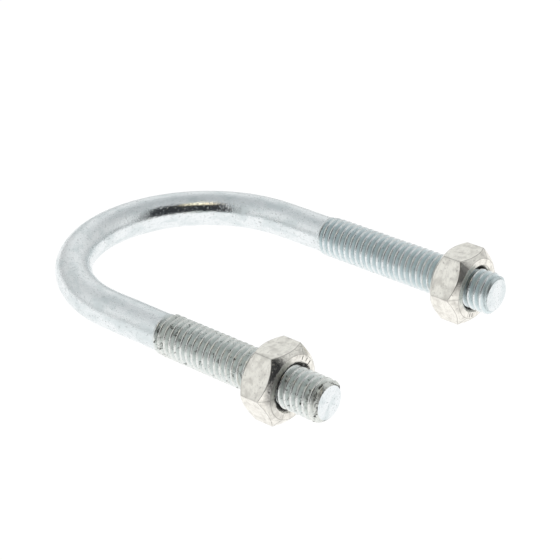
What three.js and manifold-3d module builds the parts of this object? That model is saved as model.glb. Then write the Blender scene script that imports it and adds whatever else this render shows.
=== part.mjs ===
// U-bolt with two hex nuts, for clamping a 32 mm round tube to a plate or bracket.
//
// Units are millimetres. The bolt lies flat: +X runs from the bend to the leg ends, +Y goes
// across the legs and +Z is up. The origin is on the surface it lies on, at the middle of
// its length and width.

import * as THREE from "three";
import { mergeVertices } from "three/addons/utils/BufferGeometryUtils.js";
import Module from "manifold-3d";

const wasm = await Module();
wasm.setup();

// Rod and bend
const INSIDE_WIDTH = 32;
const OVERALL_LENGTH = 60;
const SHANK_D = 5.35;

// M6 x 1 thread, rolled on a shank of its pitch diameter
const MAJOR_D = 6;
const MINOR_D = 4.773;
const PITCH = 1;
const CREST_FLAT = PITCH / 8;
const FLANK_SLOPE = Math.tan(THREE.MathUtils.degToRad(30));
const RUN_OUT = 1.2;
const END_FACE_D = 4.7;

// Hex nut
const ACROSS_FLATS = 10;
const NUT_HEIGHT = 5;
const NUT_FACE_D = 8.9;
const NUT_CHAMFER = THREE.MathUtils.degToRad(40);
const NUT_MINOR_D = 5.24;
const COUNTERSINK_D = 6.7;
const COUNTERSINK_DEPTH = 0.6;
const BEARING_FACE_HEIGHT = 0.4;
const RUNNING_GAP = 0.03;

// Each leg's thread length, how far its nut's outer face stands back from the leg end, and how
// far past the leg end the thread's crest would next cross the leg's +Y side
const LEGS = [
  { name: "right", side: -1, threadLength: 27.5, nutSetback: 6, crestPast: 0.43 },
  { name: "left", side: 1, threadLength: 29.5, nutSetback: 3.3, crestPast: 0.58 },
];

// Roundness of the solids
const THREAD_SIDES = 12;
const SHANK_SIDES = 24;
const BEND_STEPS = 30;

// How far a cutting shape runs past the face it cuts, and the turns of thread beyond each end
const CUT_PAST = 1;
const SPARE_TURNS = 2;

// Worked-out places
const LEG_END_X = OVERALL_LENGTH / 2;
const LEG_Y = (INSIDE_WIDTH + SHANK_D) / 2;
const AXIS_Z = ACROSS_FLATS / 2;
const BEND_X = -LEG_END_X + SHANK_D / 2 + LEG_Y;
const NUT_CORNER_R = ACROSS_FLATS / Math.sqrt(3);
const CHAMFER_DROP = (NUT_CORNER_R - NUT_FACE_D / 2) * Math.tan(NUT_CHAMFER);

// A body turned about X is drawn with LatheGeometry about Y, or extruded along Z
const LATHE_TO_X = new THREE.Matrix4().makeBasis(
  new THREE.Vector3(0, 0, 1),
  new THREE.Vector3(1, 0, 0),
  new THREE.Vector3(0, 1, 0),
);
const EXTRUSION_TO_X = new THREE.Matrix4().makeBasis(
  new THREE.Vector3(0, 1, 0),
  new THREE.Vector3(0, 0, 1),
  new THREE.Vector3(1, 0, 0),
);

// Closed three.js geometry to a solid that can be joined and cut.
function toSolid(geometry) {
  const bare = geometry.clone();
  bare.deleteAttribute("normal");
  bare.deleteAttribute("uv");
  const merged = mergeVertices(bare, 1e-5);
  const index = merged.index.array;
  const triVerts = [];
  for (let i = 0; i < index.length; i += 3) {
    const [a, b, c] = [index[i], index[i + 1], index[i + 2]];
    if (a !== b && b !== c && c !== a) {
      triVerts.push(a, b, c);
    }
  }
  return new wasm.Manifold(
    new wasm.Mesh({
      numProp: 3,
      vertProperties: new Float32Array(merged.attributes.position.array),
      triVerts: new Uint32Array(triVerts),
    }),
  );
}

// A solid back to three.js geometry.
function toGeometry(solid) {
  const mesh = solid.getMesh();
  const geometry = new THREE.BufferGeometry();
  geometry.setAttribute("position", new THREE.BufferAttribute(mesh.vertProperties, 3));
  geometry.setIndex(new THREE.BufferAttribute(mesh.triVerts, 1));
  geometry.computeVertexNormals();
  return geometry;
}

// A body of revolution about X through the leg axis, from [x, radius] pairs.
function turned(profile, sides) {
  const points = profile.map(([x, radius]) => new THREE.Vector2(radius, x));
  return toSolid(new THREE.LatheGeometry(points, sides).applyMatrix4(LATHE_TO_X));
}

// The centre line of the plain rod: down the right leg, round the bend and up the left leg.
class RodPath extends THREE.Curve {
  constructor(rightX, leftX) {
    super();
    this.right = rightX - BEND_X;
    this.bend = Math.PI * LEG_Y;
    this.left = leftX - BEND_X;
  }

  getPoint(t, target = new THREE.Vector3()) {
    const s = t * (this.right + this.bend + this.left);
    if (s < this.right) {
      return target.set(BEND_X + this.right - s, -LEG_Y, AXIS_Z);
    }
    if (s > this.right + this.bend) {
      return target.set(BEND_X + s - this.right - this.bend, LEG_Y, AXIS_Z);
    }
    const angle = (s - this.right) / LEG_Y;
    return target.set(BEND_X - LEG_Y * Math.sin(angle), -LEG_Y * Math.cos(angle), AXIS_Z);
  }
}

// A right-hand 60 degree thread about X, as one closed screw from startX for whole turns. The
// section repeats every turn from root to crest and back, and each turn shares its edges with
// the next. A grown thread is cut out of a nut: its flat sides clear the bolt's at every angle.
class ThreadGeometry extends THREE.BufferGeometry {
  constructor(startX, turns, minorRadius, grown) {
    super();
    const grow = grown ? 1 / Math.cos(Math.PI / THREAD_SIDES) : 1;
    const gap = grown ? RUNNING_GAP : 0;
    const crestHalf = CREST_FLAT / 2 + gap;
    const rootHalf = crestHalf + (MAJOR_D / 2 - minorRadius) * FLANK_SLOPE;
    const minor = minorRadius * grow;
    const major = (MAJOR_D / 2 + gap) * grow;
    const section = [
      [-rootHalf, minor],
      [-crestHalf, major],
      [crestHalf, major],
      [rootHalf, minor],
    ];
    const steps = turns * THREAD_SIDES;
    const tip = PITCH / 4;
    const positions = [startX - rootHalf - tip, 0, 0];
    for (let i = 0; i <= steps; i++) {
      const angle = (i * 2 * Math.PI) / THREAD_SIDES;
      for (const [x, radius] of section) {
        positions.push(startX + x + (i * PITCH) / THREAD_SIDES);
        positions.push(radius * Math.cos(angle), radius * Math.sin(angle));
      }
    }
    positions.push(startX + rootHalf + turns * PITCH + tip, 0, 0);
    const firstAxisPoint = 0;
    const lastAxisPoint = positions.length / 3 - 1;
    const at = (step, point) => 1 + step * section.length + point;
    const lastPoint = section.length - 1;
    const index = [];
    for (let i = 0; i < steps; i++) {
      for (let k = 0; k < lastPoint; k++) {
        index.push(at(i, k), at(i + 1, k), at(i, k + 1));
        index.push(at(i + 1, k), at(i + 1, k + 1), at(i, k + 1));
      }
    }
    for (let i = 0; i <= steps - THREAD_SIDES; i++) {
      const [next, turn] = [i + 1, i + THREAD_SIDES];
      if (turn < steps) {
        index.push(at(i, lastPoint), at(next, lastPoint), at(turn, 0));
        index.push(at(next, lastPoint), at(turn + 1, 0), at(turn, 0));
      }
    }
    for (let i = 0; i < THREAD_SIDES; i++) {
      const last = steps - THREAD_SIDES + i;
      index.push(firstAxisPoint, at(i + 1, 0), at(i, 0));
      index.push(lastAxisPoint, at(last, lastPoint), at(last + 1, lastPoint));
    }
    const firstRim = [at(THREAD_SIDES, 0), at(0, 3), at(0, 2), at(0, 1), at(0, 0)];
    const lastRim = [at(steps - THREAD_SIDES, 3), at(steps, 0), at(steps, 1), at(steps, 2), at(steps, 3)];
    for (let k = 0; k <= lastPoint; k++) {
      index.push(firstAxisPoint, firstRim[k + 1], firstRim[k]);
      index.push(lastAxisPoint, lastRim[k + 1], lastRim[k]);
    }
    this.setAttribute("position", new THREE.Float32BufferAttribute(positions, 3));
    this.setIndex(index);
  }
}

// The screw that a leg's bolt and nut both take their thread from, whole turns from before
// backX to past the leg end.
function legThread(leg, backX, minorRadius, grown) {
  const turns = Math.ceil((LEG_END_X - backX) / PITCH) + 2 * SPARE_TURNS;
  const startX = LEG_END_X + leg.crestPast + (SPARE_TURNS - turns) * PITCH;
  return toSolid(new ThreadGeometry(startX, turns, minorRadius, grown));
}

// A leg's threaded end, run out at the shank and chamfered at the tip.
function threadedEnd(leg) {
  const startX = LEG_END_X - leg.threadLength;
  const reach = MAJOR_D / 2 + RUNNING_GAP;
  const envelope = turned(
    [
      [startX - RUN_OUT, 0],
      [startX - RUN_OUT, SHANK_D / 2],
      [startX, reach],
      [LEG_END_X - (reach - END_FACE_D / 2), reach],
      [LEG_END_X, END_FACE_D / 2],
      [LEG_END_X, 0],
    ],
    2 * SHANK_SIDES,
  );
  return legThread(leg, startX - RUN_OUT, MINOR_D / 2, false).intersect(envelope);
}

// The whole rod: the plain bend and legs joined to both threaded ends.
function uBolt() {
  const [right, left] = LEGS.map((leg) => LEG_END_X - leg.threadLength);
  const section = new THREE.Shape().absarc(0, 0, SHANK_D / 2, 0, 2 * Math.PI);
  const rod = new THREE.ExtrudeGeometry(section, {
    steps: BEND_STEPS,
    curveSegments: SHANK_SIDES / 2,
    extrudePath: new RodPath(right, left),
    bevelEnabled: false,
  });
  return LEGS.reduce(
    (solid, leg) => solid.add(threadedEnd(leg).translate(0, leg.side * LEG_Y, AXIS_Z)),
    toSolid(rod),
  );
}

// A hexagonal prism along X, with two flats level, from backX to frontX.
function hexPrism(backX, frontX) {
  const points = [];
  for (let i = 0; i < 6; i++) {
    const a = (i * Math.PI) / 3;
    points.push(new THREE.Vector2(NUT_CORNER_R * Math.cos(a), NUT_CORNER_R * Math.sin(a)));
  }
  const prism = new THREE.ExtrudeGeometry(new THREE.Shape(points), {
    depth: frontX - backX,
    bevelEnabled: false,
  });
  return toSolid(prism.translate(0, 0, backX).applyMatrix4(EXTRUSION_TO_X));
}

// A nut's hexagon, chamfered at both ends and threaded, from the back of its bearing face on.
function nutBody(leg, backX) {
  const frontX = backX + NUT_HEIGHT;
  const seatX = backX + BEARING_FACE_HEIGHT;
  const chamfers = turned(
    [
      [backX, 0],
      [backX, NUT_FACE_D / 2],
      [backX + CHAMFER_DROP, NUT_CORNER_R],
      [frontX - CHAMFER_DROP, NUT_CORNER_R],
      [frontX, NUT_FACE_D / 2],
      [frontX, 0],
    ],
    2 * SHANK_SIDES,
  );
  const mouth = turned(
    [
      [frontX - COUNTERSINK_DEPTH, 0],
      [frontX - COUNTERSINK_DEPTH, NUT_MINOR_D / 2],
      [frontX, COUNTERSINK_D / 2],
      [frontX + CUT_PAST, COUNTERSINK_D / 2],
      [frontX + CUT_PAST, 0],
    ],
    SHANK_SIDES,
  );
  const thread = legThread(leg, backX, NUT_MINOR_D / 2, true);
  return hexPrism(seatX, frontX).intersect(chamfers).subtract(mouth).subtract(thread);
}

// The round bearing face at the back of a nut: the first slice of the chamfered nut, with its
// countersunk mouth. It slides along the leg as the nut turns.
function bearingFace(backX) {
  const seatX = backX + BEARING_FACE_HEIGHT;
  const ring = turned(
    [
      [backX, 0],
      [backX, NUT_FACE_D / 2],
      [seatX, NUT_FACE_D / 2 + BEARING_FACE_HEIGHT / Math.tan(NUT_CHAMFER)],
      [seatX, 0],
    ],
    2 * SHANK_SIDES,
  );
  const mouth = turned(
    [
      [backX - CUT_PAST, 0],
      [backX - CUT_PAST, COUNTERSINK_D / 2],
      [seatX + CUT_PAST, COUNTERSINK_D / 2],
      [seatX + CUT_PAST, 0],
    ],
    SHANK_SIDES,
  );
  return ring.subtract(mouth);
}

function named(name, solid, color, roughness, metalness) {
  const material = new THREE.MeshStandardMaterial({ color, roughness, metalness });
  const mesh = new THREE.Mesh(toGeometry(solid), material);
  mesh.name = name;
  return mesh;
}

const group = new THREE.Group();
group.add(named("u_bolt", uBolt(), 0xc4cacd, 0.34, 1));
for (const leg of LEGS) {
  const backX = LEG_END_X - leg.nutSetback - NUT_HEIGHT;
  const onLeg = new THREE.Group();
  onLeg.position.set(0, leg.side * LEG_Y, AXIS_Z);
  onLeg.add(named(`${leg.name}_nut`, nutBody(leg, backX), 0xc9c6c0, 0.42, 1));
  onLeg.add(named(`${leg.name}_nut_bearing_face`, bearingFace(backX), 0xc9c6c0, 0.42, 1));
  group.add(onLeg);
}

export default group;
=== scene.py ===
"""Zinc-plated U-bolt with a hex nut on each leg, lying flat on a white studio table.

The frame is the CAD frame: +X runs from the bend to the leg ends, +Y across the legs and +Z up.
Sizes are written in millimetres and become metres when a mesh is made.
"""

import logging
import math
from collections.abc import Mapping, Sequence
from dataclasses import dataclass, field
from enum import Enum

import bpy
import numpy as np
from mathutils import Matrix, Vector

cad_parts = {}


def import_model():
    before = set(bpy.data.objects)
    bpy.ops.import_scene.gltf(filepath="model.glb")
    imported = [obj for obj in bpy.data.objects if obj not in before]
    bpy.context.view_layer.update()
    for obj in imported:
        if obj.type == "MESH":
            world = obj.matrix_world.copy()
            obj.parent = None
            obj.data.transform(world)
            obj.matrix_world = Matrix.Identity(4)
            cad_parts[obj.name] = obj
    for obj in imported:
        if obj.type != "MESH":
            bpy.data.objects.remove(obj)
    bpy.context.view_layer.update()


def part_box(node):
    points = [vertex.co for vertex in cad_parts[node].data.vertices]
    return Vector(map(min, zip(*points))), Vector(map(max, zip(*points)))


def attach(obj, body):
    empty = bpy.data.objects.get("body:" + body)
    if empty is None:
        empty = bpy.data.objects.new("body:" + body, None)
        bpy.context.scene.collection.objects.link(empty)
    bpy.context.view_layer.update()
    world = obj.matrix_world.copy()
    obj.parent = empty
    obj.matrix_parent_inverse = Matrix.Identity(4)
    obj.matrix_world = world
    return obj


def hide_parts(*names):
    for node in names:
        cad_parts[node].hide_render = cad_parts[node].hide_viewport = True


MM = 0.001
TURN = 2 * math.pi

Colour = tuple[float, float, float]
Array = np.ndarray
# A noise's seed, its step along in millimetres and its steps round.
Noise = tuple[int, float, int]

log = logging.getLogger("u_bolt")


class Slot(Enum):
    """The record's material slots."""

    ROD = "zinc_rod"
    NUT = "zinc_nut"


class Mask(Enum):
    """Per-vertex masks, from 0 to 1, that the finishes read."""

    # Depth in a thread or bore, which the finishes darken with painted shade.
    HOLLOW = "hollow"
    # Real dirt, plus painted shade in each nut's bore, round its mouth and on one side of its front.
    GRIME_AND_SHADE = "grime_and_shade"
    POLISH = "polish"
    # Painted shade along rounded edges and the nut's upright corners.
    EDGE = "edge"
    # Real yellowing on the rod; on the nuts, painted shade on one side of the front face.
    TARNISH_AND_SHADE = "tarnish"


def smoothstep(values: Array) -> Array:
    """Clips values to 0..1 and eases them in and out."""
    t = np.clip(values, 0.0, 1.0)
    return t * t * (3.0 - 2.0 * t)


def mixed(low: Array | float, high: Array | float, share: Array) -> Array:
    """Goes from low to high as share goes from 0 to 1."""
    return low + (high - low) * share


def linked(name: str, data: bpy.types.ID) -> bpy.types.Object:
    """Makes an object and links it to the scene.

    Args:
        name: The object's name.
        data: Its mesh, light or camera.

    Returns:
        The new object.
    """
    made = bpy.data.objects.new(name, data)
    bpy.context.scene.collection.objects.link(made)
    return made


def direction_at(azimuth: Array | float, height: Array | float) -> Array:
    """Points at a place in the sky.

    Args:
        azimuth: Turn about +Z from +X, in degrees.
        height: Angle above the horizon, in degrees.

    Returns:
        The unit vector, along a new last axis.
    """
    a, h = np.radians(azimuth), np.radians(height)
    return np.stack([np.cos(a) * np.cos(h), np.sin(a) * np.cos(h), np.sin(h)], axis=-1)


def about_x(place: Array, radius: Array, turn: Array) -> Array:
    """Places points about the X axis.

    Args:
        place: Places along it.
        radius: Distances from it.
        turn: Turns from +Y towards +Z, one for a full turn.

    Returns:
        The points, rows by columns by 3.
    """
    place, radius, turn = np.broadcast_arrays(place, radius, turn)
    return np.stack([place, radius * np.cos(TURN * turn), radius * np.sin(TURN * turn)], axis=-1)


class Grain:
    """Smooth seeded noise over a length and round a girth, from -1 to 1."""

    LENGTHWISE = 257

    def __init__(self, seed: int, cell: float, around: int) -> None:
        """Fills the noise's lattice.

        Args:
            seed: Seed of the random numbers.
            cell: Lattice step along the length, in millimetres.
            around: Lattice steps in one turn.
        """
        self.cell = cell
        self.around = around
        self.values = np.random.default_rng(seed).uniform(-1.0, 1.0, (self.LENGTHWISE, around))

    def at(self, along: Array, turn: Array) -> Array:
        """Reads the noise.

        Args:
            along: Places along the length, in millimetres.
            turn: Places round the girth, one for a full turn.

        Returns:
            The noise at each place.
        """
        u = along / self.cell
        v = turn * self.around
        row = np.floor(u).astype(int)
        column = np.floor(v).astype(int)
        s, t = smoothstep(u - row), smoothstep(v - column)
        rows = row % self.LENGTHWISE, (row + 1) % self.LENGTHWISE
        columns = column % self.around, (column + 1) % self.around
        low = mixed(self.values[rows[0], columns[0]], self.values[rows[0], columns[1]], t)
        high = mixed(self.values[rows[1], columns[0]], self.values[rows[1], columns[1]], t)
        return mixed(low, high, s)


class Skin:
    """Points, faces, flow coordinates and masks of one piece, gathered before it is a mesh."""

    def __init__(self) -> None:
        """Starts an empty skin."""
        self.points: list[Array] = []
        self.faces: list[Array] = []
        self.flow: list[Array] = []
        self.masks: dict[Mask, list[Array]] = {mask: [] for mask in Mask}
        self.count = 0

    def grid(
        self,
        points: Array,
        flow: Array,
        masks: Mapping[Mask, Array] | None = None,
        closed_rows: bool = False,
        flip: bool = False,
    ) -> None:
        """Adds rows of points as quads. Each row closes on itself.

        Args:
            points: Rows by columns by 3, in millimetres.
            flow: Coordinates of the same shape for the finish's textures.
            masks: Rows by columns for each mask that isn't zero.
            closed_rows: Whether the last row also joins the first.
            flip: Whether the faces look the other way.
        """
        rows, columns = points.shape[:2]
        index = np.arange(rows * columns).reshape(rows, columns) + self.count
        if closed_rows:
            index = np.vstack([index, index[:1]])
        right = np.roll(index, -1, axis=1)
        quads = np.stack([index[:-1], right[:-1], right[1:], index[1:]], axis=-1).reshape(-1, 4)
        self.faces.append(quads[:, ::-1] if flip else quads)
        self.points.append(points.reshape(-1, 3))
        self.flow.append(flow.reshape(-1, 3))
        for mask, parts in self.masks.items():
            given = (masks or {}).get(mask)
            parts.append(np.zeros(rows * columns) if given is None else given.reshape(-1))
        self.count += rows * columns

    def piece(self, name: str, material: bpy.types.Material) -> bpy.types.Object:
        """Makes the gathered skin into a smooth-shaded object.

        Args:
            name: The piece's name.
            material: Its finish.

        Returns:
            The new object, linked to the scene.
        """
        mesh = bpy.data.meshes.new(name)
        points = np.concatenate(self.points) * MM
        mesh.from_pydata(points.tolist(), [], np.concatenate(self.faces).tolist())
        mesh.polygons.foreach_set("use_smooth", np.ones(len(mesh.polygons), bool))
        flow = mesh.attributes.new(Graph.FLOW, "FLOAT_VECTOR", "POINT")
        flow.data.foreach_set("vector", np.concatenate(self.flow).astype(np.float32).ravel())
        for mask, parts in self.masks.items():
            layer = mesh.attributes.new(mask.value, "FLOAT", "POINT")
            layer.data.foreach_set("value", np.concatenate(parts).astype(np.float32))
        mesh.materials.append(material)
        mesh.update()
        return linked(name, mesh)


class Socket:
    """A node's output, on which arithmetic adds Math nodes."""

    EASED = {"interpolation_type": "SMOOTHSTEP"}

    def __init__(self, graph: "Graph", socket: bpy.types.NodeSocket) -> None:
        """Wraps a socket of a graph."""
        self.graph = graph
        self.socket = socket

    def math(self, operation: str, *values: "Socket | float") -> "Socket":
        """Adds a Math node on this socket and some other inputs."""
        return self.graph.math(operation, self, *values)

    def __add__(self, other: "Socket | float") -> "Socket":
        """Adds."""
        return self.math("ADD", other)

    __radd__ = __add__

    def __sub__(self, other: "Socket | float") -> "Socket":
        """Subtracts."""
        return self.math("SUBTRACT", other)

    def __rsub__(self, other: "Socket | float") -> "Socket":
        """Subtracts this from a number."""
        return self.graph.math("SUBTRACT", other, self)

    def __mul__(self, other: "Socket | float") -> "Socket":
        """Multiplies."""
        return self.math("MULTIPLY", other)

    __rmul__ = __mul__

    def between(self, low: float, high: float) -> "Socket":
        """Maps low..high to 0..1 and clips it, eased at both ends."""
        inputs = {"Value": self, "From Min": low, "From Max": high}
        return self.graph.add("ShaderNodeMapRange", self.EASED, inputs)["Result"]


class Node:
    """A node whose outputs are read by name."""

    def __init__(self, graph: "Graph", node: bpy.types.Node) -> None:
        """Wraps a node of a graph."""
        self.graph = graph
        self.node = node

    def __getitem__(self, name: str | int) -> Socket:
        """One of the node's outputs."""
        return Socket(self.graph, self.node.outputs[name])


class Graph:
    """A node tree that is filled from Python expressions."""

    FLOW = "flow"
    MIX_INPUTS = (0, 6, 7)
    MIX_RESULT = 2

    def __init__(self, tree: bpy.types.NodeTree) -> None:
        """Empties a node tree and wraps it."""
        self.tree = tree
        self.tree.nodes.clear()

    def add(
        self,
        kind: str,
        settings: Mapping[str, object] | None = None,
        inputs: Mapping[str | int, object] | None = None,
    ) -> Node:
        """Adds a node.

        Args:
            kind: The node's type.
            settings: Its properties, set first.
            inputs: Values or sockets for its inputs.

        Returns:
            The new node.
        """
        node = self.tree.nodes.new(kind)
        for name, value in (settings or {}).items():
            setattr(node, name, value)
        for name, value in (inputs or {}).items():
            if isinstance(value, Socket):
                self.tree.links.new(value.socket, node.inputs[name])
            else:
                node.inputs[name].default_value = value
        return Node(self, node)

    def math(self, operation: str, *values: Socket | float) -> Socket:
        """Adds a Math node over some values."""
        settings = {"operation": operation}
        return self.add("ShaderNodeMath", settings, dict(enumerate(values)))["Value"]

    def mask(self, mask: Mask) -> Socket:
        """Reads a per-vertex mask."""
        return self.add("ShaderNodeAttribute", {"attribute_name": mask.value})["Fac"]

    def flow(self, scale: Colour) -> Socket:
        """Reads the flow coordinates, stretched by a scale on each axis."""
        flow = self.add("ShaderNodeAttribute", {"attribute_name": self.FLOW})["Vector"]
        return self.add("ShaderNodeVectorMath", {"operation": "MULTIPLY"}, {0: flow, 1: scale})["Vector"]

    def noise(self, vector: Socket, scale: float, detail: float, roughness: float = 0.5) -> Socket:
        """Adds a Noise texture and returns its value."""
        inputs = {"Vector": vector, "Scale": scale, "Detail": detail, "Roughness": roughness}
        return self.add("ShaderNodeTexNoise", None, inputs)["Fac"]

    def blend(self, share: Socket | float, low: Socket | Colour, high: Socket | Colour) -> Socket:
        """Mixes two colours.

        Args:
            share: How much of the second one shows.
            low: The first colour.
            high: The second colour.

        Returns:
            The mixed colour.
        """
        ends = [end if isinstance(end, Socket) else (*end, 1.0) for end in (low, high)]
        inputs = dict(zip(self.MIX_INPUTS, (share, *ends)))
        return self.add("ShaderNodeMix", {"data_type": "RGBA"}, inputs)[self.MIX_RESULT]

    def output(self, kind: str, shader: Socket) -> None:
        """Ends the tree in an output node."""
        self.add(kind, None, {"Surface": shader})


def new_material(name: str) -> tuple[bpy.types.Material, Graph]:
    """Makes a material without nodes.

    Args:
        name: The material's name.

    Returns:
        The material and the graph that fills it.
    """
    made = bpy.data.materials.new(name)
    made.use_nodes = True
    return made, Graph(made.node_tree)


@dataclass(frozen=True)
class ZincFinish:
    """Bright zinc plate on steel.

    Attributes:
        slot: The record's material slot.
        bright: Colour of the clean plate.
        dull: Colour of its cloudy patches.
        root_shade: Colour down in the thread, a painted shade in the thread's valleys and in the nut's
            bore.
        tarnish: Colour of yellowed plate on the rod; on the nut, a dark grey painted shade on one side
            of the front face.
        grime_and_shade: Colour of dirt and bare spots, and of the painted shade in deep thread roots,
            the nut's bore and mouth, one side of its front and its rounded edges.
        roughness: Roughness of the clean plate.
        cloud_stretch: How the cloudy patches are squeezed along each flow axis.
        cloud_scale: Cloudy patches per millimetre.
        scratch_stretch: How the fine scratches are squeezed along each flow axis.
        scratch_share: How strongly they show.
        grain_depth: Depth of the fine surface grain, in millimetres.
    """

    slot: Slot
    bright: Colour
    dull: Colour
    root_shade: Colour
    tarnish: Colour
    grime_and_shade: Colour
    roughness: float
    cloud_stretch: Colour
    cloud_scale: float
    scratch_stretch: Colour
    scratch_share: float
    grain_depth: float

    # Each noise's scale per millimetre, detail and roughness.
    SPECKS = (3.2, 3.0, 0.6)
    STREAKS = (2.4, 3.0, 0.6)
    SCRATCHES = (3.0, 3.0, 0.65)
    GRAIN = (4.2, 4.0, 0.62)
    DIRT = (2.7, 3.0, 0.65)
    CLOUD_DETAIL = 4.0
    POLISHED_ROUGHNESS = 0.14
    # Where each pattern starts to show and where it shows fully.
    CLOUD_EDGE = (0.42, 0.70)
    SPECK_EDGE = (0.59, 0.71)
    STREAK_EDGE = (0.50, 0.75)
    SCRATCH_EDGE = (0.50, 0.66)
    FLANK_EDGE = (0.12, 0.42)
    ROOT_EDGE = (0.7, 1.0)
    DIRT_EDGE = (0.40, 0.68)

    def material(self) -> bpy.types.Material:
        """Builds the finish.

        Returns:
            The new material.
        """
        made, graph = new_material(self.slot.value)
        plain = graph.flow((1.0, 1.0, 1.0))
        stretched = graph.flow(self.cloud_stretch)
        clouds = graph.noise(stretched, self.cloud_scale, self.CLOUD_DETAIL)
        cloudy = clouds.between(*self.CLOUD_EDGE)
        streaks = graph.noise(stretched, *self.STREAKS)
        specks = graph.noise(plain, *self.SPECKS).between(*self.SPECK_EDGE)
        scratches = graph.noise(graph.flow(self.scratch_stretch), *self.SCRATCHES)
        grain = graph.noise(plain, *self.GRAIN)
        hollow, polish = graph.mask(Mask.HOLLOW), graph.mask(Mask.POLISH)
        flank = hollow.between(*self.FLANK_EDGE)
        speckle = graph.noise(plain, *self.DIRT) - 0.5
        # Real dirt and specks, plus the painted shade that the nuts carry in this mask.
        dirt_and_shade = (graph.mask(Mask.GRIME_AND_SHADE) + 1.5 * speckle).between(*self.DIRT_EDGE)

        layers = (
            (cloudy, self.dull),
            (streaks.between(*self.STREAK_EDGE) * 0.5, self.dull),
            (scratches.between(*self.SCRATCH_EDGE) * self.scratch_share, self.dull),
            # Painted shade: the thread's flanks and valleys take the root colour, and the deepest roots
            # darken further.
            (flank * 0.9, self.root_shade),
            (hollow.between(*self.ROOT_EDGE) * 0.25, self.grime_and_shade),
            # On the rod real yellowing; on the nut the tarnish colour is a dark painted shade.
            (graph.mask(Mask.TARNISH_AND_SHADE) * (0.55 + 0.9 * grain), self.tarnish),
            (specks * (0.34 - 0.2 * polish), self.grime_and_shade),
            # Painted shade along rounded edges.
            (graph.mask(Mask.EDGE) * 0.5, self.grime_and_shade),
            # Dirt and painted shade from the dark mask.
            (dirt_and_shade, self.grime_and_shade),
        )
        colour: Socket | Colour = self.bright
        for share, over in layers:
            colour = graph.blend(share, colour, over)

        rough = self.roughness + 0.08 * cloudy + 0.16 * flank + 0.3 * dirt_and_shade
        rough = rough + polish * (self.POLISHED_ROUGHNESS - rough)
        height = grain + 0.6 * clouds + 0.7 * streaks + 0.8 * scratches - 0.8 * specks
        relief = {"Strength": 1.0, "Distance": self.grain_depth * MM, "Height": height}
        bump = graph.add("ShaderNodeBump", None, relief)
        surface = {
            "Base Color": colour,
            "Metallic": 1.0 - 0.6 * dirt_and_shade,
            "Roughness": rough,
            "Normal": bump["Normal"],
        }
        shader = graph.add("ShaderNodeBsdfPrincipled", None, surface)
        graph.output("ShaderNodeOutputMaterial", shader["BSDF"])
        return made


ROD_FINISH = ZincFinish(
    slot=Slot.ROD,
    bright=(0.87, 0.90, 0.91),
    dull=(0.73, 0.785, 0.795),
    # Painted shade in the thread's valleys.
    root_shade=(0.72, 0.815, 0.835),
    tarnish=(0.84, 0.835, 0.775),
    grime_and_shade=(0.07, 0.07, 0.065),
    roughness=0.24,
    cloud_stretch=(0.5, 1.0, 1.0),
    cloud_scale=0.6,
    scratch_stretch=(0.6, 1.0, 1.0),
    scratch_share=0.45,
    grain_depth=0.018,
)

NUT_FINISH = ZincFinish(
    slot=Slot.NUT,
    bright=(0.97, 0.945, 0.875),
    dull=(0.74, 0.715, 0.66),
    # Painted shade: this dark root colour fills the thread in the nut's bore.
    root_shade=(0.30, 0.30, 0.29),
    # Painted shade: this dark colour is laid on one side of the front face.
    tarnish=(0.20, 0.20, 0.195),
    grime_and_shade=(0.06, 0.058, 0.055),
    roughness=0.28,
    cloud_stretch=(1.0, 1.0, 1.0),
    cloud_scale=0.95,
    scratch_stretch=(2.0, 0.35, 0.35),
    scratch_share=0.75,
    grain_depth=0.018,
)


@dataclass(frozen=True)
class Thread:
    """A rolled right-hand 60 degree thread, as a radius at each place on a leg.

    Attributes:
        pitch: Distance from crest to crest.
        major: Radius at the crests.
        minor: Radius at the roots.
        crest_flat: Width of the flat crest.
        half_angle: Angle of each flank to the square across the thread, in degrees.
        softness: How far the profile's corners are rounded, from 0 to 1.
    """

    pitch: float = 1.0
    major: float = 3.0
    minor: float = 2.3865
    crest_flat: float = 0.125
    half_angle: float = 30.0
    softness: float = 0.15

    def height(self, past_crest: Array, turn: Array) -> Array:
        """Height of the profile.

        Args:
            past_crest: How far each place is past a crest that crosses turn 0, along +X.
            turn: Turn of each place about +X from +Y towards +Z, one for a full turn.

        Returns:
            0 at the root and 1 at the crest.
        """
        turns = past_crest / self.pitch - turn
        off = np.abs(turns - np.round(turns)) * self.pitch
        flank = (self.major - self.minor) * math.tan(math.radians(self.half_angle))
        straight = np.clip((self.crest_flat / 2 + flank - off) / flank, 0.0, 1.0)
        return mixed(straight, smoothstep(straight), self.softness)

    def radius(self, past_crest: Array, turn: Array) -> Array:
        """Radius of the thread at each place."""
        return mixed(self.minor, self.major, self.height(past_crest, turn))


THREAD = Thread()


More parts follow.
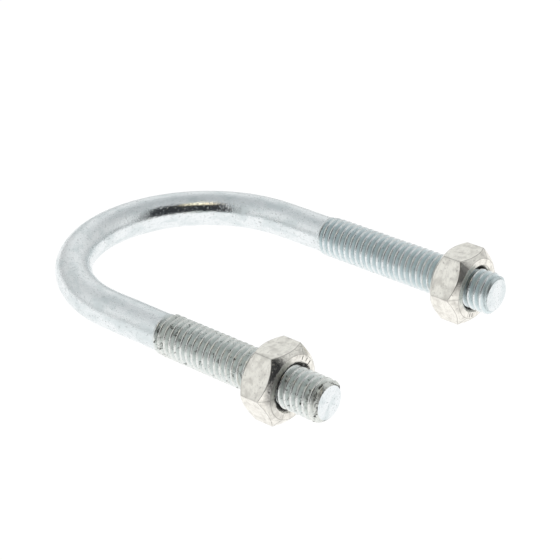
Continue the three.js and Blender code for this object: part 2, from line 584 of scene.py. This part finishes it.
@dataclass(frozen=True)
class Leg:
    """One leg of the bolt.

    Attributes:
        name: "right" or "left".
        side: -1 on the right leg and 1 on the left one, along Y.
        thread_length: Length of full thread.
        crest_past: How far past the leg end the crest would next cross the +Y side.
        worn_turns: How many turns next to the shank are worn and dirty.
        grime_and_shade: How dirty this leg's thread is, from 0 to 1; it also sets how strong the painted
            shade on its nut's front is.
        tarnish: How yellowed its thread is, from 0 to 1.
        strokes: Where short strokes are struck in the nut's front, in degrees from +Y towards +Z.
    """

    name: str
    side: int
    thread_length: float
    crest_past: float
    worn_turns: float
    grime_and_shade: float
    tarnish: float
    strokes: tuple[float, ...]

    def wear(self, noise: Noise, along: Array, turn: Array) -> Array:
        """Reads a noise that differs between the legs."""
        seed, cell, around = noise
        return Grain(seed + self.side, cell, around).at(along, turn)

    @property
    def nut(self) -> str:
        """Name of the leg's nut node and body."""
        return f"{self.name}_nut"

    @property
    def seat(self) -> str:
        """Name of the body that carries the nut along the leg."""
        return f"{self.name}_nut_seat"

    @property
    def bearing_face(self) -> str:
        """Name of the node of the nut's round bearing face."""
        return f"{self.name}_nut_bearing_face"


LEGS = (
    Leg("right", -1, 27.5, 0.43, worn_turns=5.0, grime_and_shade=1.0, tarnish=0.45, strokes=(60.0, 46.0, 34.0)),
    Leg("left", 1, 29.5, 0.58, worn_turns=2.0, grime_and_shade=0.3, tarnish=0.05, strokes=(248.0, 257.0)),
)


@dataclass
class Layout:
    """Places that every sub-assembly shares, read from the CAD frame, in millimetres."""

    leg_end: float = field(init=False)
    leg_y: float = field(init=False)
    axis_z: float = field(init=False)
    bend_x: float = field(init=False)
    shank_radius: float = 2.675

    def __post_init__(self) -> None:
        """Measures the rod's node."""
        low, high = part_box("u_bolt")
        self.leg_end = high.x / MM
        self.leg_y = high.y / MM - THREAD.major
        self.axis_z = (low.z + high.z) / 2 / MM
        self.bend_x = low.x / MM + self.shank_radius + self.leg_y

    @property
    def leg_length(self) -> float:
        """Length of each straight leg."""
        return self.leg_end - self.bend_x

    @property
    def bend_length(self) -> float:
        """Length of the bend's centre line."""
        return math.pi * self.leg_y


@dataclass(frozen=True)
class Spot:
    """A small mark on the rod.

    Attributes:
        along: Place along the centre line from the right leg's end.
        turn: Place round the section, from the outer side over the top.
        size: Radius of the mark.
        depth: How deep it goes in, negative where it stands proud.
        grime_and_shade: How dark it is, from 0 to 1.
    """

    along: float
    turn: float
    size: float
    depth: float
    grime_and_shade: float


SPOTS = (
    Spot(31.3, 0.15, 0.18, 0.02, 0.6),
    Spot(32.0, 0.155, 0.2, 0.03, 0.65),
    Spot(32.9, 0.16, 0.15, 0.02, 0.5),
    Spot(61.0, 0.15, 0.3, 0.03, 0.35),
    Spot(98.0, 0.48, 0.4, 0.02, 0.4),
    Spot(90.5, 0.44, 0.3, 0.03, 0.3),
    Spot(117.3, 0.33, 0.5, 0.16, 0.0),
    Spot(118.2, 0.36, 0.45, 0.14, 0.0),
    Spot(14.2, 0.12, 0.22, 0.05, 0.95),
    Spot(13.3, 0.06, 0.22, 0.05, 0.95),
    Spot(14.0, 0.01, 0.18, 0.05, 0.85),
)


@dataclass
class Rod:
    """The bent rod with both threaded legs: one skin of rings along the centre line.

    Attributes:
        layout: Shared places.
        columns: Points in each ring.
        plain_step: Distance between rings on the plain rod.
        thread_step: Distance between rings on a thread.
        run_out: Length over which the thread fades into the shank.
        face_radius: Radius of the flat leg ends.
        waviness: Depth of the plain rod's unevenness.
        polish_place: Middle of the polished stretch, as a share of the bend.
        polish_reach: Half its length.
        polish_fade: Length over which it fades at both ends.
        spots: Marks on the surface.
    """

    layout: Layout
    columns: int = 72
    plain_step: float = 0.4
    thread_step: float = 0.052
    run_out: float = 1.2
    face_radius: float = 2.35
    waviness: float = 0.006
    polish_place: float = 0.735
    polish_reach: float = 7.4
    polish_fade: float = 2.0
    spots: tuple[Spot, ...] = SPOTS

    COARSE_SWELL = (11, 2.3, 8)
    FINE_SWELL = (12, 0.9, 14)
    POLISH_EDGE = (13, 0.8, 22)
    CREST_WEAR = (21, 0.55, 17)
    END_WEAR = (31, 0.4, 19)
    DIRT_PATCHES = (41, 0.7, 11)
    DIRT_SPECKLE = (51, 0.3, 31)
    TIP_REACH = 2.2
    WORN_RIM = 0.25
    FIRST_GROOVE = 0.16
    END_RINGS = 12

    def stations(self) -> Array:
        """Places the rings along the centre line.

        Returns:
            Their places, from the right leg's end.
        """
        total = 2 * self.layout.leg_length + self.layout.bend_length
        near = LEGS[0].thread_length + self.run_out
        far = total - LEGS[1].thread_length - self.run_out
        ends = (0.0, near, far, total)
        steps = (self.thread_step, self.plain_step, self.thread_step)
        runs = [
            np.linspace(start, stop, math.ceil((stop - start) / step), endpoint=False)
            for start, stop, step in zip(ends, ends[1:], steps)
        ]
        return np.append(np.concatenate(runs), total)

    def centre_line(self, along: Array) -> tuple[Array, Array]:
        """Follows the right leg in, the bend round and the left leg out.

        Args:
            along: Places along the centre line.

        Returns:
            The centre and the outward direction at each place.
        """
        lay = self.layout
        before = np.clip(lay.leg_length - along, 0.0, None)
        after = np.clip(along - lay.leg_length - lay.bend_length, 0.0, None)
        angle = np.clip((along - lay.leg_length) / lay.leg_y, 0.0, math.pi)
        outward = np.stack([-np.sin(angle), -np.cos(angle), np.zeros_like(angle)], axis=-1)
        centre = outward * lay.leg_y
        centre[:, 0] += lay.bend_x + before + after
        centre[:, 2] += lay.axis_z
        return centre, outward

    def surface(self, along: Array, turn: Array) -> tuple[Array, dict[Mask, Array]]:
        """Radius and masks of the skin.

        Args:
            along: Places along the centre line, as a column.
            turn: Places round the section from the outer side over the top, as a row.

        Returns:
            The radius and the masks, both rows by columns.
        """
        lay = self.layout
        along, turn = np.broadcast_arrays(along, turn)
        swell = Grain(*self.COARSE_SWELL).at(along, turn)
        swell = swell + 0.5 * Grain(*self.FINE_SWELL).at(along, turn)
        radius = lay.shank_radius + self.waviness * swell
        masks = {mask: np.zeros_like(radius) for mask in Mask}
        for leg in LEGS:
            radius = self._thread_leg(leg, along, turn, radius, masks)
        radius, masks[Mask.GRIME_AND_SHADE] = self._mark(along, turn, radius, masks[Mask.GRIME_AND_SHADE])
        crown = lay.leg_length + lay.bend_length * self.polish_place
        ragged = Grain(*self.POLISH_EDGE).at(along, turn)
        reach = self.polish_reach + ragged - np.abs(along - crown)
        masks[Mask.POLISH] = smoothstep(reach / self.polish_fade + 0.5)
        return radius, masks

    def _thread_leg(
        self, leg: Leg, along: Array, turn: Array, radius: Array, masks: dict[Mask, Array]
    ) -> Array:
        """Cuts one leg's thread, run-out and end chamfer into the skin.

        Args:
            leg: The leg.
            along: Places along the centre line.
            turn: Places round the section.
            radius: The skin so far.
            masks: The masks so far, which it adds to.

        Returns:
            The new radius.
        """
        lay = self.layout
        total = 2 * lay.leg_length + lay.bend_length
        from_end = along if leg.side < 0 else total - along
        about_x = 0.5 - turn if leg.side < 0 else turn
        tip = smoothstep(1.15 - from_end / self.TIP_REACH)
        worn = smoothstep((from_end - leg.thread_length + leg.worn_turns) / leg.worn_turns)
        patches = smoothstep(0.5 + leg.wear(self.DIRT_PATCHES, from_end, turn))
        fine = leg.wear(self.DIRT_SPECKLE, from_end, turn)
        height = THREAD.height(-from_end - leg.crest_past, about_x)
        crests = THREAD.radius(-from_end - leg.crest_past, about_x)
        blunt = 0.05 + 0.08 * leg.grime_and_shade * (worn + tip)
        knocks = np.clip(leg.wear(self.CREST_WEAR, from_end, turn), 0.0, 1.0)
        crests = crests - height * blunt * knocks
        share = smoothstep((leg.thread_length + self.run_out - from_end) / self.run_out)
        radius = mixed(radius, crests, share)
        ragged = (0.05 + 0.07 * leg.grime_and_shade) * leg.wear(self.END_WEAR, from_end, turn)
        end_chamfer = self.face_radius + from_end + ragged * smoothstep(from_end / self.WORN_RIM)
        radius = np.minimum(radius, end_chamfer)
        # How deep each point sits in the thread; the finish paints shade there.
        depth = np.clip((THREAD.major - radius) / (THREAD.major - THREAD.minor), 0.0, 1.0)
        masks[Mask.HOLLOW] = np.maximum(masks[Mask.HOLLOW], share * depth)

        # Dirt gathers on the worn turns, at the tip, in patches and in the first groove.
        base = 0.27 + 0.16 * worn * patches + 0.30 * tip * (0.3 + 0.7 * patches) + 0.20 * fine
        dirty = share * leg.grime_and_shade * base * (0.75 + 0.5 * (1.0 - height))
        past_groove = (from_end - leg.thread_length - 0.6 * self.run_out) / self.FIRST_GROOVE
        groove = (0.3 + 0.15 * leg.grime_and_shade) * (0.6 + 0.4 * patches) * np.exp(-(past_groove**2))
        dirty = np.maximum(dirty, groove)
        masks[Mask.GRIME_AND_SHADE] = np.maximum(masks[Mask.GRIME_AND_SHADE], dirty)
        yellow = share * leg.tarnish * (1.0 + 0.6 * tip + 0.3 * worn)
        masks[Mask.TARNISH_AND_SHADE] = np.maximum(masks[Mask.TARNISH_AND_SHADE], np.clip(yellow, 0.0, 1.0))
        return radius

    def _mark(self, along: Array, turn: Array, radius: Array, grime_and_shade: Array) -> tuple[Array, Array]:
        """Presses the spots into the skin.

        Args:
            along: Places along the centre line.
            turn: Places round the section.
            radius: The skin so far.
            grime_and_shade: Grime mask so far.

        Returns:
            The new radius and grime mask.
        """
        for spot in self.spots:
            around = (turn - spot.turn + 0.5) % 1.0 - 0.5
            off = np.hypot(along - spot.along, around * TURN * self.layout.shank_radius)
            share = np.exp(-((off / spot.size) ** 2))
            radius = radius - spot.depth * share
            grime_and_shade = np.maximum(grime_and_shade, spot.grime_and_shade * share)
        return radius, grime_and_shade

    def build(self, finish: bpy.types.Material) -> bpy.types.Object:
        """Builds the rod.

        Args:
            finish: Its material.

        Returns:
            The piece, riding on the bolt's body.
        """
        along = self.stations()[:, None]
        turn = np.linspace(0.0, 1.0, self.columns, endpoint=False)[None, :]
        radius, masks = self.surface(along, turn)
        centre, outward = self.centre_line(along[:, 0])
        skin = Skin()
        skin.grid(self._place(centre, outward, radius, turn), about_x(along, radius, turn), masks)
        shares = np.linspace(1.0, 0.0, self.END_RINGS)[:, None]
        for end in (0, -1):
            rings = [np.repeat(part[end][None], len(shares), 0) for part in (centre, outward)]
            face = shares * radius[end][None, :]
            flow = about_x(np.full((len(shares), 1), along[end, 0]), face, turn)
            skin.grid(self._place(*rings, face, turn), flow, flip=end == 0)
        made = skin.piece("bolt_rod", finish)
        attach(made, "bolt")
        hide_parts("u_bolt")
        return made

    @staticmethod
    def _place(centre: Array, outward: Array, radius: Array, turn: Array) -> Array:
        """Places the points of rings about their centres.

        Args:
            centre: Centre of each ring.
            outward: Outward direction at each ring.
            radius: Radius at each point, rows by columns.
            turn: Places round the section.

        Returns:
            The points, rows by columns by 3.
        """
        sides = np.cos(TURN * turn)[..., None] * outward[:, None, :]
        ups = np.sin(TURN * turn)[..., None] * np.array([0.0, 0.0, 1.0])
        return centre[:, None, :] + radius[..., None] * (sides + ups)


@dataclass
class HexNut:
    """A chamfered hex nut with its round bearing face, threaded to fit its leg.

    Attributes:
        layout: Shared places.
        leg: The leg that it is on.
        face_radius: Radius of the flat faces inside the chamfers.
        chamfer: Angle of the chamfers to the faces, in degrees.
        corner_radius: Rounding of the six upright edges.
        edge: Rounding of the other edges.
        mouth_radius: Radius of the countersunk mouth.
        mouth_depth: Depth of the countersink.
        bore_radius: Radius of the bore at the nut thread's crests.
        gap: Play between the nut's thread and the leg's.
        side_shade_turn: Middle of the side of the front face that takes painted shade, in degrees from
            +Y towards +Z.
        side_shade_width: How far that painted shade reaches to each side of it.
        across_flats: Width across the flats, measured as the next three are.
        back: Place along X of the bearing face's back.
        seat: Where the nut and its bearing face meet.
        front: Place of the front face.
    """

    layout: Layout
    leg: Leg
    face_radius: float = 4.45
    chamfer: float = 40.0
    corner_radius: float = 0.16
    edge: float = 0.07
    mouth_radius: float = 3.5
    mouth_depth: float = 0.75
    bore_radius: float = 2.62
    gap: float = 0.03
    side_shade_turn: float = 158.0
    side_shade_width: float = 46.0
    across_flats: float = field(init=False)
    back: float = field(init=False)
    seat: float = field(init=False)
    front: float = field(init=False)

    STROKE_DEPTH = 0.06
    STROKE_WIDTH = 1.2
    STROKE_COLUMNS = (-2.0, -1.2, -0.5, 0.0, 0.5, 1.2, 2.0)
    SIDES = 6
    SIDE = 60.0
    FLAT_COLUMNS = 23
    CORNER_COLUMNS = 11
    CORNER_REACH = 1.3
    OUTLINE_STEPS = (12, 8, 24, 8)
    RING_STEPS = (6, 8, 6)
    ROUNDING = (0.2, 0.4, 0.6, 0.8)
    BORE_ROWS = 70
    FADE = 0.1
    MOUTH_WEAR = (61, 1.0, 13)
    TEXTURE_GAP = 40.0

    def __post_init__(self) -> None:
        """Measures the nut's nodes."""
        low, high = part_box(self.leg.nut)
        self.across_flats = (high.z - low.z) / MM
        self.seat = low.x / MM
        self.front = high.x / MM
        self.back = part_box(self.leg.bearing_face)[0].x / MM

    def turns(self) -> Array:
        """Places the columns round the nut, even on the flats and close at the corners.

        Returns:
            Their places as a row, one for a full turn.
        """
        half = self.across_flats / 2
        tangent = math.tan(math.radians(self.SIDE / 2))
        reach = math.degrees(math.atan((half - self.corner_radius) * tangent / half))
        flat = np.linspace(-reach, reach, self.FLAT_COLUMNS)
        corner = np.linspace(reach, self.SIDE - reach, self.CORNER_COLUMNS)[1:-1]
        side = np.concatenate([flat, corner]) + self.SIDE / 2
        sides = [side + self.SIDE * k for k in range(self.SIDES)]
        extra = [stroke + offset for stroke in self.leg.strokes for offset in self.STROKE_COLUMNS]
        degrees = np.concatenate(sides + [np.array(extra)])
        return np.unique(np.round(degrees % 360.0, 3))[None, :] / 360.0

    def hexagon(self, turn: Array) -> Array:
        """Draws the rounded hexagon, with corners on the Y axis.

        Args:
            turn: Places round the nut.

        Returns:
            Its radius at each place.
        """
        half = self.across_flats / 2
        corner = math.radians(self.SIDE / 2)
        off = np.abs((turn * self.SIDES) % 1.0 - 0.5) * math.radians(self.SIDE)
        centre = (half - self.corner_radius) / math.cos(corner)
        past = corner - off
        inside = np.clip(self.corner_radius**2 - (centre * np.sin(past)) ** 2, 0.0, None)
        arc = centre * np.cos(past) + np.sqrt(inside)
        flat = half / np.cos(off)
        return np.where(inside > 0.0, np.minimum(flat, arc), flat)

    def corners(self, turn: Array) -> Array:
        """Mask of the six upright edges at each turn."""
        off = np.abs((turn * self.SIDES + 0.5) % 1.0 - 0.5) * self.SIDE
        return smoothstep(1.0 - off / self.CORNER_REACH)

    def on_chamfer(self, place: Array, radius: Array) -> Array:
        """Masks the front chamfer.

        Args:
            place: Place along X of the outline.
            radius: Its radius.

        Returns:
            1 on the chamfer and 0 off it, rows by columns.
        """
        in_front = place > (self.front + self.back) / 2
        past_face = smoothstep((self.front - place) / self.FADE) * in_front
        rim = self.hexagon(self.turns())
        return past_face * smoothstep((rim - radius) / self.FADE)

    def struck(self, place: Array, radius: Array, turn: Array) -> Array:
        """Mask of the short strokes across the front face.

        Args:
            place: Place along X of the nut's skin.
            radius: Its radius.
            turn: Places of the columns.

        Returns:
            1 down the middle of each stroke and 0 away from them, rows by columns.
        """
        across = np.zeros_like(turn)
        for stroke in self.leg.strokes:
            off = (turn * 360.0 - stroke + 180.0) % 360.0 - 180.0
            across = np.maximum(across, np.exp(-((off / self.STROKE_WIDTH) ** 2)))
        inner, outer = self.mouth_radius + 1.5 * self.FADE, self.face_radius - self.FADE
        past_mouth = smoothstep((radius - inner) / self.FADE)
        inside = past_mouth * smoothstep((outer - radius) / self.FADE)
        return across * inside * (place > self.front - self.edge)

    def outline(self, turn: Array) -> tuple[Array, Array, Array]:
        """The nut's profile from the front of its bore out to the flats and back to its seat.

        Args:
            turn: Places of the columns.

        Returns:
            Place along X, radius and edge mask, all rows by columns.
        """
        slope = math.tan(math.radians(self.chamfer))
        rim = self.hexagon(turn)
        drop = (rim - self.face_radius) * slope
        ring = np.ones_like(turn)
        seat_rim = self.face_radius + (self.seat - self.back) / slope
        corners = [
            (self.front * ring, self.mouth_radius * ring),
            (self.front * ring, self.face_radius * ring),
            (self.front - drop, rim),
            (self.back + drop, rim),
            (self.seat * ring, seat_rim * ring),
        ]
        return self._rounded(corners, self.OUTLINE_STEPS)

    def _rounded(
        self, corners: Sequence[tuple[Array, Array]], steps: Sequence[int]
    ) -> tuple[Array, Array, Array]:
        """Draws lines between corners and rounds the corners between them.

        Args:
            corners: Place along X and radius of each corner, for every column.
            steps: Points on each line.

        Returns:
            Place along X, radius and edge mask of the rows.
        """
        points = [np.concatenate(corner, axis=0) for corner in corners]
        rows: list[Array] = []
        edges: list[float] = []
        start = points[0]
        for k, count in enumerate(steps):
            here, there = points[k], points[k + 1]
            last = k == len(steps) - 1
            direction = (there - here) / np.linalg.norm(there - here, axis=0)
            end = there if last else there - direction * self.edge
            shares = np.linspace(0.0, 1.0, count)
            rows += [mixed(start, end, share) for share in shares]
            edges += [0.0] * count
            if not last:
                after = points[k + 2]
                leaving = there + (after - there) / np.linalg.norm(after - there, axis=0) * self.edge
                for t in self.ROUNDING:
                    rows.append((1 - t) ** 2 * end + 2 * t * (1 - t) * there + t**2 * leaving)
                    edges.append(4.0 * t * (1.0 - t))
                start = leaving
        stacked = np.stack(rows)
        mask = np.broadcast_to(np.array(edges)[:, None], stacked[:, 0].shape)
        return stacked[:, 0], stacked[:, 1], mask

    def bore(self, turn: Array) -> tuple[Array, Array]:
        """The threaded bore from the seat to the mouth.

        Args:
            turn: Places of the columns.

        Returns:
            Place along X and radius, both rows by columns.
        """
        places = np.linspace(self.seat, self.front, self.BORE_ROWS)[:, None]
        crest = self.layout.leg_end + self.leg.crest_past
        radius = np.maximum(THREAD.radius(places - crest, turn) + self.gap, self.bore_radius)
        flare = self.mouth_radius - self.bore_radius
        mouth = self.mouth_radius - (self.front - places) / self.mouth_depth * flare
        radius = np.maximum(radius, mouth)
        return np.broadcast_to(places, radius.shape), radius

    def build(self, finish: bpy.types.Material) -> list[bpy.types.Object]:
        """Builds the nut and its bearing face.

        Args:
            finish: Their material.

        Returns:
            Both pieces, riding on their own bodies.
        """
        turn = self.turns()
        inner, outer = self.bore(turn), self.outline(turn)
        nut = Skin()
        place = np.vstack([inner[0], outer[0]])
        radius = np.vstack([inner[1], outer[1]])
        # Painted shade: the bore darkens from the front rim inwards.
        hollow = smoothstep((self.front - inner[0]) / (0.6 * self.mouth_depth))
        hollow = np.vstack([hollow, np.zeros_like(outer[0])])
        in_front = smoothstep((place - self.front) / self.mouth_depth + 1.0)
        ragged = self.leg.wear(self.MOUTH_WEAR, radius, np.broadcast_to(turn, radius.shape))
        # Painted shade on one side of the front face and chamfer, stronger on the dirtier leg.
        around = (turn * 360.0 - self.side_shade_turn + 180.0) % 360.0 - 180.0
        side = np.exp(-((around / self.side_shade_width) ** 2)) * self.leg.grime_and_shade
        # A ragged ring round the mouth, partly dirt and partly painted shade, wider on the shaded side.
        spread = self.mouth_radius - 0.1 + 0.4 * ragged + 0.3 * side
        round_mouth = smoothstep(1.0 - (radius - spread) / 0.45) * in_front
        round_mouth = round_mouth * (0.25 + 0.4 * self.leg.grime_and_shade)
        shine = 0.9 * self.leg.grime_and_shade - 0.25
        side_shade = side * in_front * (0.42 + 0.25 * ragged)
        struck = self.struck(place, radius, turn)
        place = place - self.STROKE_DEPTH * struck
        # Painted shade on the six upright edges.
        upright = np.broadcast_to(0.8 * self.corners(turn), outer[2].shape)
        in_bore = np.zeros_like(inner[0])
        masks = {
            Mask.HOLLOW: hollow,
            # Painted shade in the bore and on one side, dirt and painted shade round the mouth, and the
            # struck strokes.
            Mask.GRIME_AND_SHADE: np.maximum.reduce([0.9 * hollow, round_mouth, side_shade, struck]),
            # The same side takes the dark tarnish colour as painted shade.
            Mask.TARNISH_AND_SHADE: side * in_front * (0.8 + 0.3 * ragged),
            Mask.POLISH: np.vstack([in_bore, shine * self.on_chamfer(outer[0], outer[1])]),
            Mask.EDGE: np.vstack([in_bore, np.maximum(outer[2], upright)]),
        }
        self._add(nut, about_x(place, radius, turn), masks, True)
        body = nut.piece(f"{self.leg.nut}_body", finish)
        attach(body, self.leg.nut)
        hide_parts(self.leg.nut)

        ring = Skin()
        place, radius, edge = self._ring_profile(turn)
        # Painted shade along the bearing face's rounded edges.
        masks = {Mask.EDGE: edge}
        self._add(ring, about_x(place, radius, turn), masks, False)
        face = ring.piece(f"{self.leg.nut}_back", finish)
        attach(face, self.leg.seat)
        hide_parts(self.leg.bearing_face)
        return [body, face]

    def _ring_profile(self, turn: Array) -> tuple[Array, Array, Array]:
        """Draws the bearing face's profile, from its rim on the hexagon to its countersunk mouth.

        Args:
            turn: Places of the columns.

        Returns:
            Place along X, radius and edge mask, all rows by columns.
        """
        slope = math.tan(math.radians(self.chamfer))
        ring = np.ones_like(turn)
        bore = THREAD.major + self.gap
        corners = [
            (self.seat * ring, (self.face_radius + (self.seat - self.back) / slope) * ring),
            (self.back * ring, self.face_radius * ring),
            (self.back * ring, self.mouth_radius * ring),
            (self.seat * ring, bore * ring),
        ]
        return self._rounded(corners, self.RING_STEPS)

    def _add(self, skin: Skin, points: Array, masks: Mapping[Mask, Array], closed: bool) -> None:
        """Adds rows of points to a skin, with texture coordinates set apart for each leg.

        Args:
            skin: The skin.
            points: The points about an axis through the origin.
            masks: Their masks.
            closed: Whether the last row also joins the first.
        """
        axis = np.array([0.0, self.leg.side * self.layout.leg_y, self.layout.axis_z])
        apart = np.array([self.TEXTURE_GAP * self.leg.side, 0.0, 0.0])
        skin.grid(points + axis, points + apart, masks, closed, True)


@dataclass
class Studio:
    """A white table in an even grey room, with a dark card and a warm lamp on the camera's side.

    Attributes:
        table_size: Width of the table top.
        table_glow: Brightness of the table top.
        card_distance: How far the dark card stands from the object.
        card_azimuths: The card's span about +Z from +X, in degrees.
        card_heights: The card's span above the horizon, in degrees.
        card_slope: How much its top drops per degree of its span.
        card_softness: Width of the card's fading edge, in degrees.
        lamp_azimuth: Where the warm lamp hangs, as the card.
        lamp_height: Its height above the horizon.
        lamp_size: Its width and height.
        lamp_distance: How far it hangs from the object.
        lamp_watts: Its power.
    """

    table_size: float = 4000.0
    table_glow: float = 1.04
    card_distance: float = 700.0
    card_azimuths: tuple[float, float] = (-84.0, 22.0)
    card_heights: tuple[float, float] = (-6.0, 65.0)
    card_slope: float = 0.04
    card_softness: float = 6.0
    lamp_azimuth: float = -46.0
    lamp_height: float = 57.0
    lamp_size: tuple[float, float] = (165.0, 105.0)
    lamp_distance: float = 500.0
    lamp_watts: float = 0.1

    WHITE = (1.0, 1.0, 1.0)
    BLACK = (0.0, 0.0, 0.0)
    CARD_COLOUR = (0.03, 0.032, 0.036)
    LAMP_COLOUR = (1.0, 0.86, 0.6)
    TABLE_POINTS = 9
    CARD_POINTS = (61, 41)
    SKY = (
        (0.0, (1.0, 1.0, 1.0)),
        (0.485, (0.85, 0.85, 0.85)),
        (0.50, (0.46, 0.47, 0.475)),
        (0.53, (0.54, 0.55, 0.555)),
        (0.62, (0.86, 0.87, 0.87)),
        (0.74, (0.86, 0.875, 0.875)),
        (0.83, (0.78, 0.795, 0.80)),
        (0.92, (0.61, 0.63, 0.64)),
        (1.0, (0.50, 0.52, 0.53)),
    )
    SHADES = (((0.21, 0.79, 0.57), 0.2), ((-0.95, 0.03, 0.31), 0.17))
    SHADE_EDGE = (0.78, 0.98)

    def build(self) -> None:
        """Builds the table, the room's light, the dark card and the lamp."""
        self._room()
        self._table()
        self._card()
        self._lamp()
        scene = bpy.context.scene
        scene.view_settings.view_transform = "Standard"
        scene.view_settings.look = "None"

    def _room(self) -> None:
        """Lights the scene evenly, greyer at the horizon and overhead."""
        world = bpy.data.worlds.new("room")
        world.use_nodes = True
        bpy.context.scene.world = world
        graph = Graph(world.node_tree)
        direction = graph.add("ShaderNodeTexCoord")["Generated"]
        height = graph.add("ShaderNodeSeparateXYZ", None, {"Vector": direction})["Z"]
        ramp = graph.add("ShaderNodeValToRGB", None, {"Fac": height * 0.5 + 0.5})
        stops = ramp.node.color_ramp.elements
        while len(stops) < len(self.SKY):
            stops.new(1.0)
        for stop, (place, shade) in zip(stops, self.SKY):
            stop.position = place
            stop.color = (*shade, 1.0)
        colour = ramp["Color"]
        for towards, share in self.SHADES:
            settings = {"operation": "DOT_PRODUCT"}
            near = graph.add("ShaderNodeVectorMath", settings, {0: direction, 1: towards})["Value"]
            colour = graph.blend(near.between(*self.SHADE_EDGE) * share, colour, self.BLACK)
        light = graph.add("ShaderNodeBackground", None, {"Color": colour, "Strength": 1.0})
        graph.output("ShaderNodeOutputWorld", light["Background"])

    @staticmethod
    def _sheet(name: str, points: Array, material: bpy.types.Material) -> bpy.types.Object:
        """Makes a sheet of quads from a grid of points.

        Args:
            name: The sheet's name.
            points: Rows by columns by 3, in millimetres.
            material: Its finish.

        Returns:
            The new object, linked to the scene.
        """
        rows, columns = points.shape[:2]
        starts = [a for a in range((rows - 1) * columns) if (a + 1) % columns]
        faces = [(a, a + 1, a + columns + 1, a + columns) for a in starts]
        mesh = bpy.data.meshes.new(name)
        mesh.from_pydata((points.reshape(-1, 3) * MM).tolist(), [], faces)
        mesh.materials.append(material)
        return linked(name, mesh)

    @staticmethod
    def _glow(graph: Graph, colour: Colour, strength: float) -> Socket:
        """Adds a glowing shader to a graph and returns it."""
        inputs = {"Color": (*colour, 1.0), "Strength": strength}
        return graph.add("ShaderNodeEmission", None, inputs)["Emission"]

    def _table(self) -> None:
        """Lays the table top. It is clear from below."""
        half = self.table_size / 2
        steps = np.linspace(-half, half, self.TABLE_POINTS)
        x, y = np.meshgrid(steps, steps)
        points = np.stack([x, y, np.zeros_like(x)], axis=-1)
        material, graph = new_material("table_white")
        glow = self._glow(graph, self.WHITE, self.table_glow)
        clear = graph.add("ShaderNodeBsdfTransparent")["BSDF"]
        below = graph.add("ShaderNodeNewGeometry")["Backfacing"]
        shader = graph.add("ShaderNodeMixShader", None, {0: below, 1: glow, 2: clear})
        graph.output("ShaderNodeOutputMaterial", shader["Shader"])
        table = self._sheet("table_top", points, material)

    def _card(self) -> None:
        """Stands the dark card, which only reflections see, with edges that fade out."""
        (left, right), (low, high) = self.card_azimuths, self.card_heights
        columns, rows = self.CARD_POINTS
        azimuth = np.linspace(left, right, columns)[:, None]
        height = np.linspace(low, high, rows)[None, :]
        azimuth, height = np.broadcast_arrays(azimuth, height)
        top = high - self.card_slope * (azimuth - left)
        inward = np.minimum.reduce([azimuth - left, right - azimuth, top - height, height - low])
        fade = smoothstep(inward / self.card_softness)
        points = direction_at(azimuth, height) * self.card_distance
        material, graph = new_material("dark_cloth")
        share = graph.add("ShaderNodeAttribute", {"attribute_name": "fade"})["Fac"]
        clear = graph.add("ShaderNodeBsdfTransparent")["BSDF"]
        dark = self._glow(graph, self.CARD_COLOUR, 1.0)
        shader = graph.add("ShaderNodeMixShader", None, {0: share, 1: clear, 2: dark})
        graph.output("ShaderNodeOutputMaterial", shader["Shader"])
        card = self._sheet("dark_card", points, material)
        layer = card.data.attributes.new("fade", "FLOAT", "POINT")
        layer.data.foreach_set("value", fade.astype(np.float32).ravel())
        card.visible_camera = False
        card.visible_diffuse = False
        card.visible_shadow = False
        card.visible_transmission = False

    def _lamp(self) -> None:
        """Hangs a small warm lamp above the camera."""
        data = bpy.data.lights.new("warm_lamp", "AREA")
        data.shape = "RECTANGLE"
        data.size, data.size_y = (size * MM for size in self.lamp_size)
        data.color = self.LAMP_COLOUR
        data.energy = self.lamp_watts
        lamp = linked("warm_lamp", data)
        direction = Vector(direction_at(self.lamp_azimuth, self.lamp_height))
        lamp.location = direction * (self.lamp_distance * MM)
        lamp.rotation_euler = direction.to_track_quat("Z", "Y").to_euler()
        lamp.visible_camera = False


@dataclass(frozen=True)
class Viewpoint:
    """The camera.

    Attributes:
        azimuth: Turn about +Z, where 0 looks along +Y and 90 along -X, in degrees.
        elevation: Height above the horizon, in degrees.
        roll: Turn about the line of sight, in degrees.
        distance: Distance to the point it is aimed at.
        aim: That point.
        lens: Focal length.
        sensor: Sensor width.
    """

    azimuth: float = 40.39
    elevation: float = 27.56
    roll: float = -0.454
    distance: float = 260.4
    aim: tuple[float, float, float] = (3.53, 3.0, 5.0)
    lens: float = 117.32
    sensor: float = 36.0

    def build(self) -> None:
        """Places the camera and makes it the scene's."""
        data = bpy.data.cameras.new("camera")
        data.lens = self.lens
        data.sensor_width = self.sensor
        camera = linked("camera", data)
        a, e = math.radians(self.azimuth), math.radians(self.elevation)
        back = Vector((math.sin(a) * math.cos(e), -math.cos(a) * math.cos(e), math.sin(e)))
        right = Vector((math.cos(a), math.sin(a), 0.0))
        up = back.cross(right)
        turned = Matrix.Rotation(math.radians(self.roll), 3, back)
        axes = Matrix((turned @ right, turned @ up, back)).transposed()
        place = (Vector(self.aim) + back * self.distance) * MM
        camera.matrix_world = Matrix.Translation(place) @ axes.to_4x4()
        bpy.context.scene.camera = camera


def main() -> None:
    """Builds the U-bolt, its nuts and the studio in the CAD frame."""
    logging.basicConfig(level=logging.INFO, format="%(message)s")
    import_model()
    layout = Layout()
    pieces = [Rod(layout).build(ROD_FINISH.material())]
    nut_finish = NUT_FINISH.material()
    for leg in LEGS:
        pieces += HexNut(layout, leg).build(nut_finish)
    for piece in pieces:
        log.info("%s: %d faces", piece.name, len(piece.data.polygons))
    Studio().build()
    Viewpoint().build()


if __name__ == "__main__":
    main()
